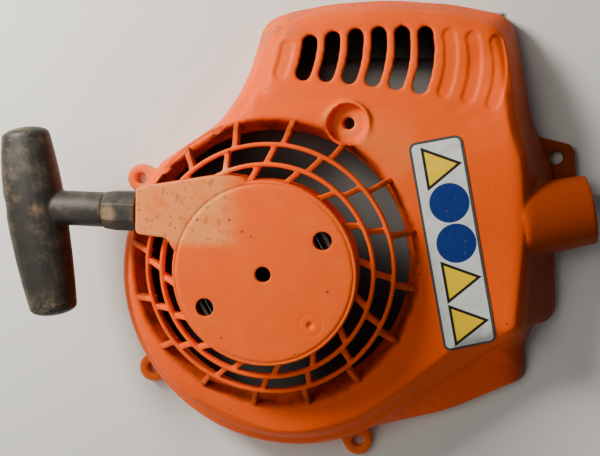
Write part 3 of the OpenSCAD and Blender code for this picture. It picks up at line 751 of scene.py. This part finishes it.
@dataclass
class OrangeMoulding:
    """Fan housing, intake grille and starter cover, one moulding in three skins."""

    shell_nodes: tuple[str, ...] = ("fan_housing", "screw_ears", "front_boss", "air_spigot")
    shell_voxel: float = 0.72 * MM
    grille_voxel: float = 0.42 * MM
    cover_voxel: float = 0.45 * MM
    limit: int = 190000
    blind_slots: tuple[int, ...] = (0, 7, 8, 9)
    slot_half: float = 3.1
    recess: float = 0.75
    dimple_at: tuple[float, float] = (20.0, -21.7)
    join_from: float = 58.0 * MM
    join_over: float = 3.0 * MM
    join_reach: float = 1.3 * MM

    def build(self, finish: bpy.types.Material) -> bpy.types.Object:
        """Models and dresses the three skins.

        Args:
            finish: the orange plastic.

        Returns:
            The skin of the fan housing, which the label lies on.
        """
        shell = self._skin("moulding_shell", self.shell_nodes, self.shell_voxel, 2)
        grille = self._skin("moulding_grille", ("intake_grille",), self.grille_voxel, 4)
        cover = self._skin("moulding_cover", ("starter_housing",), self.cover_voxel, 4)
        skins = (
            (shell, self.shell_nodes),
            (grille, ("intake_grille",)),
            (cover, ("starter_housing",)),
        )
        for piece, nodes in skins:
            Bench.measure_edges(piece)
            Bench.finish(piece, finish, "housing", "orange_plastic")
            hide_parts(*nodes)
        return shell

    def _skin(self, name: str, nodes: tuple[str, ...], voxel: float, passes: int) -> bpy.types.Object:
        """Makes one skin.

        Args:
            name: its name.
            nodes: the frame's nodes in it.
            voxel: its cell size.
            passes: how often it is smoothed.

        Returns:
            The skin.
        """
        piece = Bench.copy(name, nodes)
        Bench.modify(piece, "REMESH", mode="VOXEL", voxel_size=voxel, adaptivity=0.0)
        if name == "moulding_shell":
            Bench.modify(piece, "SMOOTH", factor=0.5, iterations=9)
            self._press(piece, self._slot_depth)
        if name == "moulding_cover":
            self._press(piece, self._cover_depth)
        if name == "moulding_grille":
            self._join_mouth(piece)
        Bench.modify(piece, "SMOOTH", factor=0.5, iterations=passes)
        Bench.thin(piece, self.limit)
        return piece

    @staticmethod
    def _press(
        piece: bpy.types.Object, depth_at: Callable[[np.ndarray, np.ndarray], np.ndarray]
    ) -> None:
        """Sinks the points that face forwards.

        Args:
            piece: the piece.
            depth_at: works out each point's depth from all places and normals.
        """
        mesh = piece.data
        count = len(mesh.vertices)
        place = np.empty(count * 3)
        normal = np.empty(count * 3)
        mesh.vertices.foreach_get("co", place)
        mesh.vertices.foreach_get("normal", normal)
        place, normal = place.reshape(-1, 3), normal.reshape(-1, 3)
        place[:, 2] -= depth_at(place / MM, normal) * MM
        mesh.vertices.foreach_set("co", place.ravel())
        mesh.update()

    def _join_mouth(self, piece: bpy.types.Object) -> None:
        """Runs the blades' outer ends into the wall of the intake's mouth.

        Args:
            piece: the grille's skin.
        """
        for vertex in piece.data.vertices:
            radius = math.hypot(vertex.co.x, vertex.co.y)
            if radius > self.join_from:
                share = min((radius - self.join_from) / self.join_over, 1.0)
                scale = 1.0 + share * self.join_reach / radius
                vertex.co.x *= scale
                vertex.co.y *= scale

    def _slot_depth(self, at: np.ndarray, normal: np.ndarray) -> np.ndarray:
        """Depth of the blind slots' recesses.

        Args:
            at: places in millimetres.
            normal: outward normals.

        Returns:
            Depth at each place.
        """
        depth = np.zeros(len(at))
        front = (normal[:, 2] > 0.25) & (at[:, 2] > 16.0) & (at[:, 1] > 66.0)
        for i in self.blind_slots:
            top = np.array([8 + 10.1 * i, 105.3 - 0.24 * (i - 4.5) ** 2])
            low = np.array([3.2 + 10.4 * i, 83 - 0.45 * i - 0.135 * i * i])
            along = (top - low) / np.linalg.norm(top - low)
            side = np.array([along[1], -along[0]])
            half = np.linalg.norm(top - low) / 2 - self.slot_half
            line = [
                (top + low) / 2 + along * half * t + side * (0.3 + 0.2 * i) * (1 - t * t)
                for t in np.linspace(-1, 1, 17)
            ]
            gap = np.min([np.linalg.norm(at[:, :2] - p, axis=1) for p in line], axis=0)
            share = np.clip((self.slot_half - gap) / 0.5, 0, 1)
            depth = np.maximum(depth, self.recess * share)
        return np.where(front, depth, 0.0)

    def _cover_depth(self, at: np.ndarray, normal: np.ndarray) -> np.ndarray:
        """Depth of the starter cover's gate mark, faint rings and groove.

        Args:
            at: places in millimetres.
            normal: outward normals.

        Returns:
            Depth at each place.
        """
        radius = np.linalg.norm(at[:, :2], axis=1)
        gate = np.linalg.norm(at[:, :2] - np.array(self.dimple_at), axis=1)
        depth = 0.9 * np.clip((1.6 - gate) / 0.7, 0, 1)
        depth += 0.16 * np.clip(1 - np.abs(gate - 4.8) / 0.7, 0, 1)
        depth += 0.55 * np.clip(1 - np.abs(radius - 38.5) / 0.7, 0, 1) * (at[:, 2] > 58.0)
        dome = 0.5 * np.clip(radius / 38.0, 0, 1) ** 2
        return np.where((normal[:, 2] > 0.5) & (at[:, 2] > 57.6), depth + dome * (radius < 38.0), 0.0)


@dataclass
class FrontLabel:
    """Thin printed film that follows the housing's front surface."""

    middle: tuple[float, float] = (80.1, 9.6)
    turn_deg: float = 9.8
    half: tuple[float, float] = (11.7, 46.9)
    corner: float = 3.4
    lift: float = 0.12
    thickness: float = 0.22

    def build(self, shell: bpy.types.Object, finish: bpy.types.Material) -> None:
        """Models the label on the shell and dresses it.

        Args:
            shell: the skin that it lies on.
            finish: the printed film.
        """
        Bench.clear()
        bpy.ops.mesh.primitive_grid_add(x_subdivisions=44, y_subdivisions=182, size=2.0, location=(0, 0, 0))
        label = bpy.context.object
        label.name = label.data.name = "front_label"
        turn = Matrix.Rotation(math.radians(self.turn_deg), 3, "Z")
        skin = BVHTree.FromObject(shell, bpy.context.evaluated_depsgraph_get())
        for vertex in label.data.vertices:
            u, v = self._rounded(vertex.co.x, vertex.co.y)
            flat = turn @ Vector((u, v, 0.0)) + Vector((*self.middle, 0.0))
            hit = skin.ray_cast(Vector((flat.x * MM, flat.y * MM, 0.09)), Vector((0, 0, -1)))
            height = hit[0].z if hit[0] else 0.03
            vertex.co = Vector((flat.x * MM, flat.y * MM, height + self.lift * MM))
        Bench.modify(label, "SMOOTH", factor=0.5, iterations=6, use_x=False, use_y=False, use_z=True)
        Bench.modify(label, "SOLIDIFY", thickness=self.thickness * MM, offset=1.0)
        Bench.finish(label, finish, "housing", "label_film")
        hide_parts("safety_label")

    def _rounded(self, a: float, b: float) -> tuple[float, float]:
        """Moves a point of a square sheet into the label's outline with round corners.

        Args:
            a: place across, -1 to 1.
            b: place along, -1 to 1.

        Returns:
            Place in millimetres from the label's middle.
        """
        u, v = a * self.half[0], b * self.half[1]
        over_u = abs(u) - (self.half[0] - self.corner)
        over_v = abs(v) - (self.half[1] - self.corner)
        if over_u > 0 and over_v > 0:
            long = math.hypot(over_u, over_v)
            reach = max(over_u, over_v)
            u = math.copysign(self.half[0] - self.corner + over_u * reach / long, u)
            v = math.copysign(self.half[1] - self.corner + over_v * reach / long, v)
        return u, v


@dataclass
class PullGrip:
    """Black T-grip with its neck and octagonal nose."""

    voxel: float = 0.5 * MM
    limit: int = 120000

    def build(self, finish: bpy.types.Material) -> None:
        """Models and dresses the grip.

        Args:
            finish: the black rubber.
        """
        body = Bench.copy("grip_bar", ("grip_body",))
        Bench.soften(body, self.voxel, 12, self.limit)
        Bench.measure_edges(body, 3)
        Bench.finish(body, finish, "grip", "grip_rubber")
        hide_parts("grip_body")
        nose = Bench.copy("grip_collar", ("grip_nose",))
        Bench.soften(nose, 0.3 * MM, 3, 60000)
        Bench.measure_edges(nose, 2)
        Bench.finish(nose, finish, "grip", "grip_rubber")
        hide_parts("grip_nose")


@dataclass
class StarterRope:
    """Rope on the rotor and its stretch to the grip; its two knots are dressed with the inside pieces."""

    radius: float = 1.72 * MM
    height: float = 47.0 * MM
    first: float = 17.75 * MM
    last: float = 31.75 * MM
    turns: float = 5.0
    sides: int = 12

    def build(self, finish: bpy.types.Material) -> None:
        """Models and dresses the rope.

        Args:
            finish: the braided cord.
        """
        steps = int(self.turns * 60)
        points = []
        for i in range(steps + 1):
            share = i / steps
            reach = self.first + (self.last - self.first) * share
            turn = 2 * math.pi * self.turns * share + math.radians(30.0)
            points.append(Vector((reach * math.cos(turn), reach * math.sin(turn), self.height)))
        coil = self._tube("rope_coil", points)
        Bench.finish(coil, finish, "rotor", "rope")
        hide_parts("rope_winding")
        lead = Bench.copy("rope_to_grip", ("rope_lead",))
        Bench.modify(lead, "SUBSURF", levels=1, render_levels=1)
        Bench.finish(lead, finish, None, "rope")
        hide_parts("rope_lead")
        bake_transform(lead)

    def _tube(self, name: str, points: list[Vector]) -> bpy.types.Object:
        """Sweeps a round section along a flat way by extruding it ring by ring.

        Args:
            name: the piece's name.
            points: the way's points.

        Returns:
            The tube.
        """
        mesh = bmesh.new()
        rings = []
        for i, point in enumerate(points):
            ahead = points[min(i + 1, len(points) - 1)] - points[max(i - 1, 0)]
            ahead.normalize()
            side = Vector((-ahead.y, ahead.x, 0.0))
            ring = []
            for k in range(self.sides):
                turn = 2 * math.pi * k / self.sides
                place = point + side * self.radius * math.cos(turn)
                place += Vector((0, 0, 1)) * self.radius * math.sin(turn)
                ring.append(mesh.verts.new(place))
            rings.append(ring)
        for one, two in zip(rings, rings[1:]):
            for k in range(self.sides):
                j = (k + 1) % self.sides
                mesh.faces.new((one[k], one[j], two[j], two[k]))
        mesh.faces.new(reversed(rings[0]))
        mesh.faces.new(rings[-1])
        bmesh.ops.recalc_face_normals(mesh, faces=mesh.faces)
        data = bpy.data.meshes.new(name)
        mesh.to_mesh(data)
        mesh.free()
        piece = bpy.data.objects.new(name, data)
        bpy.context.scene.collection.objects.link(piece)
        return piece


@dataclass
class Inside:
    """Pieces that keep their frame shape and get a finish."""

    steel: tuple[str, ...] = (
        "rope_eyelet",
        "cassette_screws",
        "retaining_washer",
        "retaining_screw",
        "pawl_pins",
        "pawl_pin_clips",
        "pawl_1",
        "pawl_2",
        "pawl_spring",
        "knot_washer",
    )
    black: tuple[str, ...] = ("spring_cassette", "rope_rotor")

    def build(self, finishes: dict[str, bpy.types.Material]) -> None:
        """Dresses the pieces.

        Args:
            finishes: materials by the name used here.
        """
        for node in self.steel:
            self._dress(node, finishes["steel"])
        for node in self.black:
            self._dress(node, finishes["black"])
        self._dress("rewind_spring", finishes["blued"])
        # Painted shade: the starter post is near black so that the hole in the cover's middle reads dark
        self._dress("starter_post", finishes["dark"])
        self._dress("rotor_bush", finishes["bronze"])
        self._dress("air_baffle", finishes["foam"])
        for node in ("rotor_knot", "grip_knot"):
            self._dress(node, finishes["cord"])

    def _dress(self, node: str, material: bpy.types.Material) -> None:
        """Gives one frame node its finish.

        Args:
            node: the node's name.
            material: its finish.
        """
        piece = FRAME["nodes"][node]
        piece.data.materials.clear()
        piece.data.materials.append(material)
        log.info("%s: frame shape kept", node)


@dataclass
class Studio:
    """Pale floor with painted shade under the housing, soft warm light and the camera."""

    camera_at: Point = (0.07279, 0.06501, 0.44875)
    lean_deg: float = 6.6
    swing_deg: float = -8.2
    lens_mm: float = 56.64
    lamp_colour: Point = (1.0, 0.95, 0.84)
    world_strength: float = 0.085
    lamps: dict[str, tuple[Point, float, float]] = field(
        default_factory=lambda: {
            "key": ((-0.36, 0.33, 0.34), 0.16, 5.6),
            "fill": ((-0.45, -0.55, 0.45), 0.6, 1.3),
            "top": ((-0.35, 0.25, 0.85), 0.4, 1.8),
        }
    )

    def build(self) -> None:
        """Sets up the floor, the lamps, the world and the camera."""
        self._floor()
        for name, (place, size, power) in self.lamps.items():
            lamp = bpy.data.lights.new(name, "AREA")
            lamp.size = size
            lamp.energy = power
            lamp.color = self.lamp_colour
            holder = bpy.data.objects.new(name, lamp)
            holder.location = place
            aim = Vector((0.02, 0.02, 0.02)) - Vector(place)
            holder.rotation_euler = aim.to_track_quat("-Z", "Y").to_euler()
            bpy.context.scene.collection.objects.link(holder)
        world = bpy.data.worlds.new("studio")
        world.use_nodes = True
        back = next(n for n in world.node_tree.nodes if n.type == "BACKGROUND")
        back.inputs[0].default_value = (1.0, 1.0, 1.0, 1.0)
        back.inputs[1].default_value = self.world_strength
        bpy.context.scene.world = world
        self._camera()

    def _floor(self) -> None:
        """Lays the floor just under the rear rim."""
        Bench.clear()
        bpy.ops.mesh.primitive_plane_add(size=6.0, location=(0, 0, 0))
        floor = bpy.context.object
        floor.name = "floor"
        for vertex in floor.data.vertices:
            vertex.co.z = -0.0006
        maker = MaterialMaker("pale_floor")
        x, y, _ = maker.axes()
        # Painted shade on the floor under the housing and its head, lighter towards the upper right and at
        # the head's lower part
        round_part = (x * x + y * y).root().step(71.0, 69.0) * (0.97 - (x + y).step(25.0, 75.0) * 0.16)
        head_part = x.step(-1.0, 2.0) * x.step(106.0, 103.0) * y.step(60.0, 62.0) * y.step(113.0, 111.0)
        painted_shade = round_part.most(head_part * (0.95 - y.step(98.0, 80.0) * 0.22))
        colour = maker.mix(painted_shade, Shade.FLOOR, Shade.SOOT)
        floor.data.materials.append(maker.surface(base_color=colour, roughness=0.9))

    def _camera(self) -> None:
        """Places the camera by its two small turns from straight above."""
        lean = Matrix.Rotation(math.radians(self.lean_deg), 3, "X")
        swing = Matrix.Rotation(math.radians(self.swing_deg), 3, "Y")
        rows = swing @ lean
        camera = bpy.data.objects.new("camera", bpy.data.cameras.new("camera"))
        camera.matrix_world = Matrix.Translation(self.camera_at) @ rows.transposed().to_4x4()
        camera.data.sensor_fit = "HORIZONTAL"
        camera.data.sensor_width = 36.0
        camera.data.lens = self.lens_mm
        camera.data.clip_start = 0.01
        bpy.context.scene.collection.objects.link(camera)
        bpy.context.scene.camera = camera


def main() -> None:
    """Builds every sub-assembly in order."""
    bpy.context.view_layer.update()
    orange = WornOrangePlastic().make()
    rubber = DustyBlackRubber().make()
    cord = BraidedCord().make()
    shell = OrangeMoulding().build(orange)
    FrontLabel().build(shell, PrintedLabel().make())
    PullGrip().build(rubber)
    StarterRope().build(cord)
    Inside().build(
        {
            "steel": PlainFinish("bright_steel", Shade.STEEL, Shade.DUST, 0.30, 1.0).make(),
            "black": PlainFinish("black_moulding", Shade.BLACK, Shade.DUST, 0.45).make(),
            "blued": PlainFinish("blued_strip", Shade.BLUED, Shade.STEEL, 0.28, 1.0).make(),
            "bronze": PlainFinish("sintered_bronze", Shade.BRONZE, Shade.GRIME, 0.40, 1.0).make(),
            "foam": PlainFinish("black_foam", Shade.SOOT, Shade.BLACK, 0.95).make(),
            # Near-black steel for the starter post, painted shade for the cover's middle hole
            "dark": PlainFinish("steel_in_painted_shade", Shade.SOOT, Shade.GRIME, 0.45, 0.6).make(),
            "cord": cord,
        }
    )
    Studio().build()


if __name__ == "__main__":
    logging.basicConfig(level=logging.INFO, format="%(name)s %(message)s")
    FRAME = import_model()
    main()
